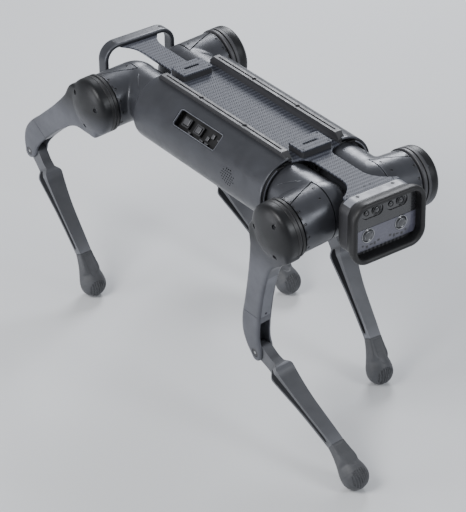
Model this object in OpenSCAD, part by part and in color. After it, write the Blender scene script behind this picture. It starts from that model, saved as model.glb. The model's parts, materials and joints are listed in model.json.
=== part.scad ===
// Quadruped robot dog: a trunk of two side barrels under a flat deck, a sensor
// head, a tail hoop, and four legs that each roll, swing and bend.
// +X is forward, +Y is left, +Z is up. The origin is on the floor, under the
// middle of the standing robot's outline. All sizes are in millimetres.

/* [Trunk] */
// Length of the two side barrels
trunk_l = 366; // [360:1:368]
// Outer radius of a side barrel
barrel_r = 61; // [60:0.5:61.5]
// Distance from the centre plane to a barrel's axis, which the hip rolls about
barrel_y = 54; // [53.5:0.5:56]
// Thickness of the side shells
shell_t = 3; // [2.5:0.1:3.2]
// Height of the deck's top face above the barrel axes
deck_z = 53; // [52.5:0.5:53.5]
// Width of the deck between the rails
deck_w = 100; // [96:1:100]
// Width of the deck's narrow necks
neck_w = 42; // [36:1:44]

/* [Rails and blocks] */
// Height of the rails above the deck
rail_h = 16; // [14:1:18]
// Width of a rail
rail_w = 13; // [12:1:14]
// Height of the strap blocks above the deck
block_h = 14; // [12:1:15]

/* [Head and hoop] */
// Width of the head and of the tail hoop
head_w = 150; // [146:1:152]
// Height of the head and of the tail hoop
head_h = 112; // [111:0.5:112]
// Length of the head, housing and bumper together
head_l = 55; // [54:1:56]
// Distance from the trunk's middle to the front of the bumper frame
head_x = 378; // [377:1:380]
// Distance from the trunk's middle to the back of the hoop
hoop_x = 349; // [348:1:352]

/* [Legs] */
// Distance from the trunk's middle to the hip pitch axes
hip_x = 263.6; // [263:0.1:265]
// Distance from a roll axis out to the middle plane of its leg
leg_y = 90.6; // [90:0.1:92]
// Radius of the hip housings
hip_r = 50; // [49:0.5:50]
// Radius of the thigh drums
drum_r = 52.7; // [52.5:0.1:53]
// Distance from the hip axis to the knee axis
thigh_l = 285.8; // [285:0.1:286]
// Distance from the knee axis to the middle of the foot's ball
shank_l = 270.8; // [268:0.1:272]
// Radius of the foot's ball
foot_r = 24; // [23:0.5:24.5]
// Height of the roll axes above the middles of the feet, standing
stand_h = 413.5; // [410:0.5:416]

/* [Hidden] */
$fn = 72;
// Each leg: name, end (1 front, -1 rear), side (1 left, -1 right), thigh angle
// back from straight down, and splay out from upright, in degrees.
LEGS = [
    ["fr", 1, -1, 15, -5.4],
    ["fl", 1, 1, 47.8, -3.4],
    ["rr", -1, -1, 49.7, -3.4],
    ["rl", -1, 1, 16.2, 3.5]
];
LEG_PARTS = ["hip_housing", "hip_cover", "hip_motor", "thigh_rim", "thigh_shell",
    "thigh_strip", "knee_motor", "knee_pin", "shank", "foot"];

graphite = [0.16, 0.16, 0.18];
black = [0.05, 0.05, 0.06];
deck_grey = [0.52, 0.54, 0.60];
metal = [0.60, 0.61, 0.63];

half_l = trunk_l / 2;
shell_in_r = barrel_r - shell_t;
gap = 0.3;               // clearance between pieces that only lie side by side
fit = 0.05;              // radial clearance of a shaft in its bore
bulkhead_t = 6;
bulkhead_x = half_l - 11; // inner face of an end bulkhead
motor_r = 45.8;
motor_l = 60;
motor_x = bulkhead_x + bulkhead_t; // outer face of a roll motor
stub_r = 12;             // shaft of a hip roll motor
deck_t = 3;
deck_front = 330;        // ends of the deck, from the trunk's middle
deck_rear = hoop_x - 6;
rail_y = deck_w / 2 + rail_w / 2 - 1;
rail_seat_y = rail_y;    // the side shells' upper edges run under the middles of the rails
head_z = deck_z + 8 - head_h / 2; // middle of the head above the barrel axes
head_wall = 10;
head_corner = 30;
bumper_l = 28;
head_inset = 8;          // the housing and the hoop's inside are this much smaller all round
hoop_l = 24;
window_x = -15.5;        // middle of the port window
window_l = 121;
window_w = 34;
window_tilt = 44;        // angle of the window above horizontal
speaker_x = 90;
speaker_tilt = 5;
drum_in_y = -21.2;       // inner face of a thigh drum, from the leg's plane
drum_seam_y = -6.2;
drum_rim_y = 4;
dome_h = 18;
arm_w = 30;
slot_w = 19;
pin_r = 5;
hip_wall = 7;
hip_open_y = 66;         // open end of a hip housing, from the roll axis
hip_bore_y = -21;        // inner end of a hip housing's motor bore
cover_t = 3;             // the hip's front cover, and the tilt of its two seams
cover_y = 8;
cover_lean = 6;
cover_skew = 23;
boot_top = 62;           // length of the foot's boot above the ball's middle
boot_r = 13;
knee_back = 23;          // how far the thigh reaches behind the rear knee, standing

// The leg's angles, and where that puts the foot
function leg_end(leg) = leg[1];
function leg_side(leg) = leg[2];
function thigh_a(leg) = leg[3];
function splay(leg) = leg[4];
function drop(leg) = (stand_h + leg_y * sin(splay(leg))) / cos(splay(leg));
function shank_a(leg) = acos((drop(leg) - thigh_l * cos(thigh_a(leg))) / shank_l);
function knee_x(leg) = leg_end(leg) * hip_x - thigh_l * sin(thigh_a(leg));
function foot_x(leg) = knee_x(leg) + shank_l * sin(shank_a(leg));
function foot_y(leg) = barrel_y + leg_y * cos(splay(leg)) + drop(leg) * sin(splay(leg));

// The trunk stands so that the outline's middle is over the origin
front_edge = foot_x(LEGS[0]) + foot_r;
rear_edge = knee_x(LEGS[2]) - knee_back;
left_edge = foot_y(LEGS[3]) + foot_r;
right_edge = barrel_y + (leg_y + drum_rim_y + dome_h) * cos(splay(LEGS[2]));
trunk_pos = [-(front_edge + rear_edge) / 2, (right_edge - left_edge) / 2, stand_h + foot_r];

// A smooth closed curve through points, for outlines that swell and narrow
function curve_point(a, b, c, d, t) = 0.5 * (2 * b + (c - a) * t
    + (2 * a - 5 * b + 4 * c - d) * t * t + (3 * b - a - 3 * c + d) * t * t * t);
function smooth_loop(p, steps) = [for (i = [0:len(p) - 1]) for (k = [0:steps - 1])
    curve_point(p[(i + len(p) - 1) % len(p)], p[i], p[(i + 1) % len(p)],
        p[(i + 2) % len(p)], k / steps)];
function smooth_line(p, steps) = concat([for (i = [0:len(p) - 2]) for (k = [0:steps - 1])
    curve_point(p[max(i - 1, 0)], p[i], p[i + 1], p[min(i + 2, len(p) - 1)], k / steps)],
    [p[len(p) - 1]]);
// A quarter or more of an ellipse about a middle
function arc(c, rx, ry, from, to, steps) = [for (k = [0:steps])
    let (a = from + (to - from) * k / steps) [c[0] + rx * cos(a), c[1] + ry * sin(a)]];
// The same points on the other side of the X axis, in the opposite order
function flip_y(p) = [for (i = [len(p) - 1:-1:0]) [p[i][0], -p[i][1]]];

// Where things stand
module on_trunk() { translate(trunk_pos) children(); }
module on_side(side) {
    if (side < 0) mirror([0, 1, 0]) children();
    else children();
}
module on_hip(leg) {
    on_trunk() on_side(leg_side(leg)) translate([leg_end(leg) * hip_x, barrel_y, 0])
        rotate([splay(leg), 0, 0]) children();
}
module on_thigh(leg) {
    on_hip(leg) translate([0, leg_y, 0]) rotate([0, thigh_a(leg), 0]) children();
}
module on_shank(leg) {
    on_thigh(leg) translate([0, 0, -thigh_l])
        rotate([0, -thigh_a(leg) - shank_a(leg), 0]) children();
}
// Both ends and both sides of the trunk
module each_end() { for (end = [1, -1]) scale_x(end) children(); }
module scale_x(end) {
    if (end < 0) mirror([1, 0, 0]) children();
    else children();
}
module each_corner() { each_end() for (side = [1, -1]) on_side(side) children(); }

// Cylinders along X and Y between two places
module rod_x(r, x0, x1) { translate([x0, 0, 0]) rotate([0, 90, 0]) cylinder(h = x1 - x0, r = r); }
module rod_y(r, y0, y1) { translate([0, y1, 0]) rotate([90, 0, 0]) cylinder(h = y1 - y0, r = r); }
// A box between two corners
module block(a, b) { translate(a) cube(b - a); }
// A side outline, drawn as [forward, up], given a width about the leg's plane
module slab(points, width) {
    translate([0, width / 2, 0]) rotate([90, 0, 0]) linear_extrude(width) polygon(points);
}
module round_rect(w, h, r) {
    square([w - 2 * r, h], center = true);
    square([w, h - 2 * r], center = true);
    for (x = [1, -1], y = [1, -1]) translate([x * (w / 2 - r), y * (h / 2 - r)]) circle(r);
}
// The head's outline, grown outward by d, standing across X
module head_slab(x0, x1, d) {
    translate([x0, 0, head_z]) rotate([90, 0, 90]) linear_extrude(x1 - x0)
        round_rect(head_w + 2 * d, head_h + 2 * d, head_corner + d);
}

// ---- Trunk ----

module side_barrel() {
    intersection() {
        translate([0, barrel_y, 0]) difference() {
            rod_x(barrel_r, -half_l, half_l);
            rod_x(shell_in_r, -half_l - 1, half_l + 1);
        }
        union() {
            block([-half_l, deck_w / 2, -barrel_r], [half_l, barrel_y + barrel_r, 0]);
            block([-half_l, rail_seat_y, 0], [half_l, barrel_y + barrel_r, barrel_r]);
        }
    }
}

// Puts +Z along the barrel's outward radius at an angle above horizontal
module on_barrel(x, angle) {
    translate([x, barrel_y, 0]) rotate([angle - 90, 0, 0]) children();
}

module speaker_holes() {
    pitch = 5.2;
    for (row = [-3:3], col = [-3:3])
        if (abs(row) + abs(col) < 5)
            translate([(col + 0.5 * (row % 2)) * pitch, row * pitch * 0.87, 40])
                cylinder(h = 30, r = 1.2, $fn = 16);
}

module side_shell_right() {
    color(graphite) on_trunk() on_side(-1) difference() {
        side_barrel();
        on_barrel(window_x, window_tilt) translate([0, 0, 40])
            linear_extrude(30) round_rect(window_l, window_w, 6);
        on_barrel(speaker_x, speaker_tilt) speaker_holes();
    }
}

module side_shell_left() { color(graphite) on_trunk() side_barrel(); }

module belly_cover() {
    color(graphite) on_trunk()
        block([-half_l, -deck_w / 2 + gap, -barrel_r], [half_l, deck_w / 2 - gap, shell_t - barrel_r]);
}

module bulkhead() {
    difference() {
        intersection() {
            union() {
                for (side = [1, -1]) translate([0, side * barrel_y, 0])
                    rod_x(shell_in_r - gap, bulkhead_x, bulkhead_x + bulkhead_t);
                block([bulkhead_x, -barrel_y, -shell_in_r], [bulkhead_x + bulkhead_t, barrel_y, shell_in_r]);
            }
            block([0, -200, gap - shell_in_r], [half_l, 200, deck_z - deck_t]);
        }
        for (side = [1, -1]) translate([0, side * barrel_y, 0])
            rod_x(motor_r, bulkhead_x - 1, half_l);
    }
}

module trunk_frame() {
    tray_y = 36;
    beam_y = 10;
    color(metal) on_trunk() difference() {
        union() {
            each_end() {
                bulkhead();
                block([bulkhead_x, -beam_y, deck_z - 15], [head_x - head_l, beam_y, deck_z - deck_t]);
            }
            block([-bulkhead_x, -tray_y, deck_z - 9], [bulkhead_x, tray_y, deck_z - deck_t]);
            block([-bulkhead_x, -tray_y, -55], [bulkhead_x, tray_y, -52]);
        }
        for (side = [1, -1]) translate([0, side * barrel_y, 0])
            rod_x(motor_r + gap, -half_l, half_l);
    }
}

// One side of one end of the deck, from the straight middle out to the tip
function deck_side(flare) = concat(
    [[half_l, deck_w / 2]],
    arc([half_l + 22, deck_w / 2], 22, (deck_w - neck_w) / 2, 180, 270, 8),
    smooth_line(concat([[278, neck_w / 2]], flare), 5)
);
function deck_end(flare) = concat(deck_side(flare), flip_y(deck_side(flare)));
front_flare = [[294, 25], [308, 35], [319, 48], [324, 56], [deck_front, 56]];
rear_flare = [[298, 23], [316, 30], [328, 39], [334, 40], [deck_rear, 40]];

module top_plate() {
    color(deck_grey) on_trunk() translate([0, 0, deck_z - deck_t]) linear_extrude(deck_t)
        polygon(concat(deck_end(front_flare), [for (p = deck_end(rear_flare)) -p]));
}

module rail(side) {
    top = deck_z + rail_h;
    foot = deck_z + 6;
    end_slope = 12;
    color(black) on_trunk() on_side(side) difference() {
        translate([0, rail_y + rail_w / 2, 0]) rotate([90, 0, 0]) linear_extrude(rail_w) polygon([
            [-half_l + 2, deck_z], [half_l - 2, deck_z], [half_l - 2, foot],
            [half_l - end_slope, top], [end_slope - half_l, top], [2 - half_l, foot]
        ]);
        intersection() {
            translate([0, barrel_y, 0]) rod_x(barrel_r, -half_l, half_l);
            block([-half_l, rail_seat_y - gap, 0], [half_l, 2 * barrel_y, barrel_r]);
        }
        // groove along the top, with a cross slot at each third
        block([20 - half_l, rail_y - 1.6, top - 3], [half_l - 20, rail_y + 1.6, top + 1]);
        for (x = [-trunk_l / 6, trunk_l / 6])
            block([x - 3, rail_y - 4, top - 3], [x + 3, rail_y + 4, top + 1]);
        // threaded holes for what is carried on the deck
        for (x = [-120, 120]) translate([x, rail_y, top - 7.5]) cylinder(h = 10, r = 1.65, $fn = 32);
    }
}

module rail_right() { rail(-1); }
module rail_left() { rail(1); }

module strap_blocks() {
    length = 42;
    width = 62;
    base_h = block_h - 3;
    color(black) on_trunk() each_end() translate([half_l - 16, 0, deck_z]) difference() {
        union() {
            linear_extrude(base_h) round_rect(length - 2, width - 2, 3);
            translate([0, 0, base_h]) linear_extrude(3) round_rect(length, width, 4);
        }
        translate([0, 0, block_h - 8]) linear_extrude(9) round_rect(6, 31, 2);
        for (x = [-1, 1], y = [-1, 1])
            translate([x * (length / 2 - 5), y * (width / 2 - 5), block_h - 1.5])
                cylinder(h = 2, r = 1.5, $fn = 24);
    }
}

module head_frame() {
    color(black) on_trunk() difference() {
        head_slab(head_x - bumper_l, head_x, 0);
        head_slab(head_x - bumper_l - 1, head_x + 1, -head_wall);
    }
}

module head_back() {
    back = head_x - head_l;
    wall = 4;
    color(graphite) on_trunk() difference() {
        union() {
            head_slab(back, head_x - bumper_l, -head_inset);
            head_slab(back, visor_x - 4, -head_wall - gap / 3);
        }
        head_slab(back + wall, head_x, -head_wall - wall);
        // the deck's front edge lies in a step
        block([back - 1, -head_w, deck_z - deck_t], [deck_front, head_w, deck_z + 1]);
    }
}

visor_x = head_x - 16;
visor_split = head_z + 1;
module visor_part(low, high) {
    intersection() {
        head_slab(visor_x - 4, visor_x, -head_wall - gap);
        block([0, -head_w, low], [head_x, head_w, high]);
    }
}
eye_y = 25;
eye_z = 34;
lamp_y = 34;
lamp_z = -7;
lamp_r = 13;
// The pill-shaped windows of the cameras
module eye_pills(r, x0, x1) {
    for (side = [1, -1]) translate([x0, side * eye_y, eye_z]) rotate([90, 0, 90])
        linear_extrude(x1 - x0) round_rect(2 * (r + 11), 2 * r, r - 0.01);
}
module visor_upper() {
    color(black) on_trunk() difference() {
        visor_part(visor_split + gap, head_z + head_h);
        eye_pills(10.5, visor_x - 2, visor_x + 1);
    }
}
module visor_lower() {
    color(graphite) on_trunk() difference() {
        visor_part(head_z - head_h / 2 + head_wall + 8, visor_split - gap);
        for (side = [1, -1]) translate([0, side * lamp_y, lamp_z]) rod_x(lamp_r, visor_x - 5, visor_x + 1);
    }
}
module head_lenses() {
    color("black") on_trunk() for (side = [1, -1]) {
        translate([0, side * lamp_y, lamp_z]) intersection() {
            rod_x(lamp_r - gap, visor_x - 6, visor_x + 6);
            translate([visor_x - 14, 0, 0]) sphere(18.5);
        }
        translate([visor_x - 2, side * eye_y + 9, eye_z]) rod_x(7.5, 0, 3);
        translate([visor_x - 2, side * eye_y - 12, eye_z]) rod_x(4, 0, 2.5);
    }
}

module rear_hoop() {
    color(graphite) on_trunk() scale_x(-1) {
        difference() {
            head_slab(hoop_x - hoop_l, hoop_x, 0);
            head_slab(hoop_x - hoop_l - 1, hoop_x + 1, -head_inset);
        }
    }
}

module port_panel() {
    deep = 11;
    top = 53.6;
    color(black) on_trunk() on_side(-1) on_barrel(window_x, window_tilt) {
        difference() {
            translate([0, 0, top - deep]) linear_extrude(deep) round_rect(window_l + 6, window_w + 5, 8);
            translate([0, 0, top - deep + 2]) linear_extrude(deep) round_rect(window_l, window_w, 6);
        }
        for (x = [-40, -6]) translate([x, 0, top - deep + 2]) difference() {
            linear_extrude(6) round_rect(20, 17, 2);
            translate([0, 0, 2]) linear_extrude(5) round_rect(15, 12, 1);
        }
        for (i = [0, 1]) translate([20 + 9 * i, 4 - 8 * i, top - deep + 2])
            linear_extrude(3) round_rect(6, 8, 1);
    }
}

module end_rings() {
    color(black) on_trunk() each_corner() intersection() {
        translate([0, barrel_y, 0]) difference() {
            rod_x(shell_in_r - gap, motor_x, half_l + 1.5);
            rod_x(hip_r + 1, motor_x - 1, half_l + 3);
        }
        block([0, gap, -barrel_r], [hip_x, 2 * barrel_r, deck_z - deck_t]);
    }
}

module battery_pack() {
    color(graphite) on_trunk() translate([0, 0, -52]) linear_extrude(58) round_rect(170, 112, 8);
}

module main_board() {
    color("darkgreen") on_trunk() {
        block([-85, -38, 18], [85, 38, 20]);
        for (x = [-55, 0, 50]) block([x - 14, -14, 20], [x + 14, 14, 26]);
        for (x = [-80, 80], y = [-32, 32]) translate([x, y, 20]) cylinder(h = deck_z - 9 - 20, r = 3, $fn = 24);
    }
}

module abad_motors() {
    color(metal) on_trunk() each_corner() translate([0, barrel_y, 0]) {
        rod_x(motor_r - gap / 3, motor_x - motor_l, motor_x);
        rod_x(stub_r, motor_x, motor_x + 22);
    }
}

// ---- Legs: parts of the hip, which rolls ----

// The space ahead of the front cover's two seams, moved back by d
module cover_space(d) {
    intersection() {
        translate([-15 - d, 0, 0]) rotate([0, 0, -cover_skew])
            block([0, -2 * hip_r, -2 * hip_r], [3 * hip_r, 3 * hip_r, 2 * hip_r]);
        translate([0, cover_y - d, 0]) rotate([cover_lean, 0, 0])
            block([-2 * hip_r, 0, -2 * hip_r], [2 * hip_r, 3 * hip_r, 2 * hip_r]);
    }
}

module hip_housing(leg) {
    neck_end = motor_x + 4 - hip_x;
    neck_wall = 10;
    color(graphite) on_hip(leg) scale_x(leg_end(leg)) difference() {
        union() {
            rotate([90, 0, 0]) sphere(hip_r);
            rod_y(hip_r, 0, hip_open_y);
            rod_x(hip_r - 1, neck_end, 0);
        }
        rod_y(hip_r - hip_wall, hip_bore_y, hip_open_y + 1);
        rod_x(stub_r + fit, neck_end - 1, -30);
        rod_x(30, neck_end + neck_wall, -30);
        // the front cover lies in a step
        intersection() {
            difference() {
                rod_y(hip_r + 2, 0, hip_open_y + 1);
                rod_y(hip_r - cover_t - gap, -1, hip_open_y + 2);
            }
            cover_space(gap);
        }
    }
}

module hip_cover(leg) {
    color(graphite) on_hip(leg) scale_x(leg_end(leg)) intersection() {
        difference() {
            rod_y(hip_r, 0, hip_open_y);
            rod_y(hip_r - cover_t, -1, hip_open_y + 1);
        }
        cover_space(0);
    }
}

module hip_motor(leg) {
    color(metal) on_hip(leg) {
        rod_y(hip_r - hip_wall - gap / 3, hip_bore_y, 58);
        rod_y(30, 58, 68);
        rod_y(14, 68, leg_y + drum_in_y + 5);
    }
}

// ---- Legs: parts of the thigh, which swings ----

// Side outline of the thigh's arm as [forward, up] from the hip axis
arm_points = [
    [-51, -12], [-45, -60], [-42.5, -110], [-43, -180], [-45, -229], [-40, -262],
    [-27, -284], [-14, -296], [-2, -305], [9, -301], [14, -288], [12, -272], [4, -255],
    [0, -220], [0, -160], [5, -105], [15, -68], [38, -38], [50, -14], [0, 20]
];
arm_loop = smooth_loop(arm_points, 5);

// Side outline of the slot that the lower leg folds into
slot_points = [
    [40, -216], [-30, -216], [-36, -232], [-34, -254], [-25, -273], [-17.5, -284],
    [-16, -292], [-10, -303], [-4, -320], [40, -320]
];

module thigh_rim(leg) {
    color(black) on_thigh(leg) difference() {
        rod_y(drum_r, drum_in_y, drum_seam_y);
        rod_y(14 + fit, drum_in_y - 1, 0);
        rod_y(motor_r + 0.3, drum_in_y + 5.2, 0);
        difference() {
            rod_y(drum_r + 1, drum_in_y + 6, drum_in_y + 8.5);
            rod_y(drum_r - 1.8, drum_in_y, 0);
        }
    }
}

module drum_dome() {
    rotate([-90, 0, 0]) rotate_extrude() polygon(concat(
        [[0, drum_seam_y], [drum_r, drum_seam_y]],
        arc([0, drum_rim_y], drum_r, dome_h, 0, 90, 10)));
}

module dome_screw_holes() {
    for (a = [50, 170, 290]) rotate([0, a, 0]) translate([36, 0, 0])
        rod_y(3.2, drum_rim_y + 7, drum_rim_y + dome_h);
}

module strip_shape(width, low, high) {
    intersection() {
        difference() {
            slab(arm_loop, width);
            translate([-3, 0, 0]) slab(arm_loop, width + 1);
        }
        block([-20, -width, low], [20, width, high]);
    }
}

module thigh_shell(leg) {
    color(graphite) on_thigh(leg) difference() {
        union() {
            drum_dome();
            difference() {
                slab(arm_loop, arm_w);
                rod_y(drum_r + gap, -arm_w, drum_seam_y);
            }
        }
        rod_y(motor_r + 0.3, drum_seam_y - 1, 8.5);
        dome_screw_holes();
        slab(slot_points, slot_w);
        strip_shape(20 + gap, -202, -100);
        translate([0, 0, -thigh_l]) {
            rod_y(pin_r + fit, -arm_w, arm_w);
            for (side = [1, -1]) on_side(side) rod_y(7.5 + fit, arm_w / 2 - 2.5, arm_w);
        }
    }
}

module thigh_strip(leg) {
    color(deck_grey) on_thigh(leg) strip_shape(20, -201.8, -100.2);
}

module knee_motor(leg) {
    color(metal) on_thigh(leg) rod_y(motor_r, drum_in_y + 5.5, 8.2);
}

module knee_pin(leg) {
    color(metal) on_thigh(leg) translate([0, 0, -thigh_l]) {
        rod_y(pin_r, -arm_w / 2 + 1, arm_w / 2 - 1);
        for (side = [1, -1]) on_side(side) difference() {
            rod_y(7.5, arm_w / 2 - 2.4, arm_w / 2 - 0.4);
            translate([0, arm_w / 2 - 1.6, 0]) rotate([-90, 0, 0]) cylinder(h = 2, r = 2.5, $fn = 6);
        }
    }
}

// ---- Legs: parts of the shank, which bends at the knee ----

// Side outline of the lower leg as [forward, up] from the knee axis
shank_points = [
    [0, 12.5], [8.5, 12.5], [15.5, 5], [21.5, -8], [21, -28], [24, -42], [28, -54], [25, -70],
    [21.5, -100], [20.5, -130], [21.5, -165], [22.5, -200], [21, -232], [6, -236],
    [4.5, -200], [2.5, -160], [-0.5, -120], [-4, -87], [-6.5, -57], [-7, -35], [-10, -14], [-11, 6]
];
// Front outline as [outward, up]: narrow in the fork, wide below it
shank_front = concat(
    [[-9, 20], [-9, -40]],
    smooth_line([[-9.2, -43], [-16, -52], [-17, -62], [-15, -100], [-13.5, -140], [-11.5, -232]], 3),
    smooth_line([[11.5, -232], [13.5, -140], [15, -100], [17, -62], [16, -52], [9.2, -43]], 3),
    [[9, -40], [9, 20]]
);
// Side pocket between the broad front face and the thin rear spine
pocket_points = [
    [9, -46], [15, -60], [14.5, -100], [14, -130], [15, -165], [15.5, -196],
    [9, -197], [7.5, -160], [4, -120], [0.5, -87], [-2, -57], [0, -44]
];
// The boot leans back from the lower leg's middle line to the foot's ball
boot_lean = 9.5;
module on_boot() { translate([0, 0, -shank_l]) rotate([0, boot_lean, 0]) children(); }

module shank(leg) {
    color(graphite) on_shank(leg) union() {
        difference() {
            intersection() {
                slab(smooth_loop(shank_points, 4), 40);
                rotate([90, 0, 90]) translate([0, 0, -30]) linear_extrude(80) polygon(shank_front);
            }
            rod_y(pin_r + fit, -20, 20);
            for (side = [1, -1]) translate([0, side * 12.5, 0]) slab(smooth_loop(pocket_points, 3), 20);
            on_boot() translate([0, 0, boot_top - 100]) cylinder(h = 100, r = 60);
        }
        on_boot() translate([0, 0, 10]) cylinder(h = boot_top - 9.9, r = 8);
    }
}

boot_profile = concat(
    [[0, -foot_r]],
    arc([0, 0], foot_r, foot_r, -80, 20, 10),
    smooth_line([[foot_r * cos(30), foot_r * sin(30)], [18.5, 24], [15.2, 40], [boot_r, boot_top]], 3),
    [[8, boot_top], [8, 10], [0, 10]]
);

module foot(leg) {
    groove_pitch = 5;
    color(black) on_shank(leg) on_boot() difference() {
        rotate_extrude() polygon(boot_profile);
        for (i = [-2.5:2.5]) translate([0, i * groove_pitch, 0]) rotate([90, 0, 0])
            translate([0, 0, -0.6]) difference() {
                cylinder(h = 1.2, r = foot_r + 1);
                translate([0, 0, -1]) cylinder(h = 4, r = sqrt(foot_r * foot_r - pow(i * groove_pitch, 2)) - 1.2);
                translate([-40, -2, -1]) cube([80, 60, 4]);
            }
    }
}

// ---- Drawing ----

trunk_frame();
side_shell_right();
side_shell_left();
belly_cover();
top_plate();
rail_right();
rail_left();
strap_blocks();
head_frame();
head_back();
visor_upper();
visor_lower();
head_lenses();
rear_hoop();
port_panel();
end_rings();
battery_pack();
main_board();
abad_motors();
for (leg = LEGS) {
    hip_housing(leg);
    hip_cover(leg);
    hip_motor(leg);
    thigh_rim(leg);
    thigh_shell(leg);
    thigh_strip(leg);
    knee_motor(leg);
    knee_pin(leg);
    shank(leg);
    foot(leg);
}
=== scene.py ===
"""The looks of a quadruped robot dog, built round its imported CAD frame.

Shapes are drawn in millimetres in local frames: X forward, Y outward from the
robot's middle, Z up. Each local frame comes from the CAD model's joints and boxes.
"""
import json
import math

import bmesh
import bpy
from mathutils import Matrix, Vector


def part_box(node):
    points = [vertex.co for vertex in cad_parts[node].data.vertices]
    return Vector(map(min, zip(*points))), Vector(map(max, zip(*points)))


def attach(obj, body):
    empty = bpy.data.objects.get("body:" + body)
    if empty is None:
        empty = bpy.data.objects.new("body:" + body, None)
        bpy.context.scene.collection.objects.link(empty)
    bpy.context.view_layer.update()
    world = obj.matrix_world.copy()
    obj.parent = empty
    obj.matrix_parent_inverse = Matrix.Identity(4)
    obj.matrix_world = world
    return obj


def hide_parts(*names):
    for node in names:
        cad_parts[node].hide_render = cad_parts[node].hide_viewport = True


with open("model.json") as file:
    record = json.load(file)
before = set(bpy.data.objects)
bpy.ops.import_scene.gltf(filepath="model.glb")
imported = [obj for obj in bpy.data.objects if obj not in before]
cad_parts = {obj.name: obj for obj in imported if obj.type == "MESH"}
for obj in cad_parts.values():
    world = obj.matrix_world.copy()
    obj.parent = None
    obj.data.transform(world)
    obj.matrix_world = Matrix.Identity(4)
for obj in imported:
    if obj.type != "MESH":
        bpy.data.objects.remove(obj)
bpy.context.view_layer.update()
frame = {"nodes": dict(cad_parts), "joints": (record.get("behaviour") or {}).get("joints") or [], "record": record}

MM = 0.001
LEGS = ("fr", "fl", "rr", "rl")
ENDS = {"f": 1, "r": -1}
joints = {joint["name"]: joint for joint in frame["joints"]}


# ---- Camera, floor and light ----

# The camera looks at a point near the trunk, from a long way off
VIEW_AZIMUTH, VIEW_ELEVATION, VIEW_ROLL = 54.06, 31.88, -0.79
VIEW_DISTANCE, VIEW_RIGHT, VIEW_UP = 4.3162, -0.0283, -0.2015
LENS = 178.5


def joint_at(kind, leg):
    return Vector(joints[f"{kind}_{leg}"]["pos_m"])


trunk_at = sum((joint_at("hip_roll", leg) for leg in LEGS), Vector()) / len(LEGS)


def add_camera():
    azimuth, elevation = math.radians(VIEW_AZIMUTH), math.radians(VIEW_ELEVATION)
    back = Vector((math.sin(azimuth) * math.cos(elevation),
                   -math.cos(azimuth) * math.cos(elevation), math.sin(elevation)))
    level = Vector((0, 0, 1)).cross(back).normalized()
    steep = back.cross(level)
    roll = math.radians(VIEW_ROLL)
    right = level * math.cos(roll) + steep * math.sin(roll)
    up = steep * math.cos(roll) - level * math.sin(roll)
    data = bpy.data.cameras.new("camera")
    data.lens = LENS
    data.clip_end = 50
    camera = bpy.data.objects.new("camera", data)
    turn = Matrix((right, up, back)).transposed().to_4x4()
    at = trunk_at + right * VIEW_RIGHT + up * VIEW_UP + back * VIEW_DISTANCE
    camera.matrix_world = Matrix.Translation(at) @ turn
    bpy.context.scene.collection.objects.link(camera)
    bpy.context.scene.camera = camera


def add_area_light(name, at, size, power, colour=(1, 1, 1)):
    data = bpy.data.lights.new(name, "AREA")
    data.shape, data.size, data.energy, data.color = "DISK", size, power, colour
    light = bpy.data.objects.new(name, data)
    light.location = at
    light.rotation_euler = (trunk_at - Vector(at)).to_track_quat("-Z", "Y").to_euler()
    bpy.context.scene.collection.objects.link(light)


def add_floor_and_lights():
    floor_mesh = bpy.data.meshes.new("floor")
    half = 12
    floor_mesh.from_pydata([(-half, -half, 0), (half, -half, 0), (half, half, 0), (-half, half, 0)],
                           [], [(0, 1, 2, 3)])
    floor = bpy.data.objects.new("floor", floor_mesh)
    floor_mesh.materials.append(floor_material())
    bpy.context.scene.collection.objects.link(floor)
    world = bpy.data.worlds.new("studio")
    world.use_nodes = True
    sky = world.node_tree.nodes["Background"]
    sky.inputs["Color"].default_value = (0.86, 0.88, 0.92, 1)
    sky.inputs["Strength"].default_value = 0.5
    bpy.context.scene.world = world
    add_area_light("key", (0.1, -2.1, 2.3), 1.3, 52)
    add_area_light("side", (2.4, 0.9, 1.7), 1.0, 26, (0.93, 0.96, 1.0))
    add_area_light("rim", (-1.7, 1.7, 1.9), 1.2, 60, (0.93, 0.95, 1.0))
    add_area_light("low", (-0.7, -2.0, 0.55), 1.0, 14, (0.95, 0.96, 1.0))


# ---- Materials ----

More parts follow.
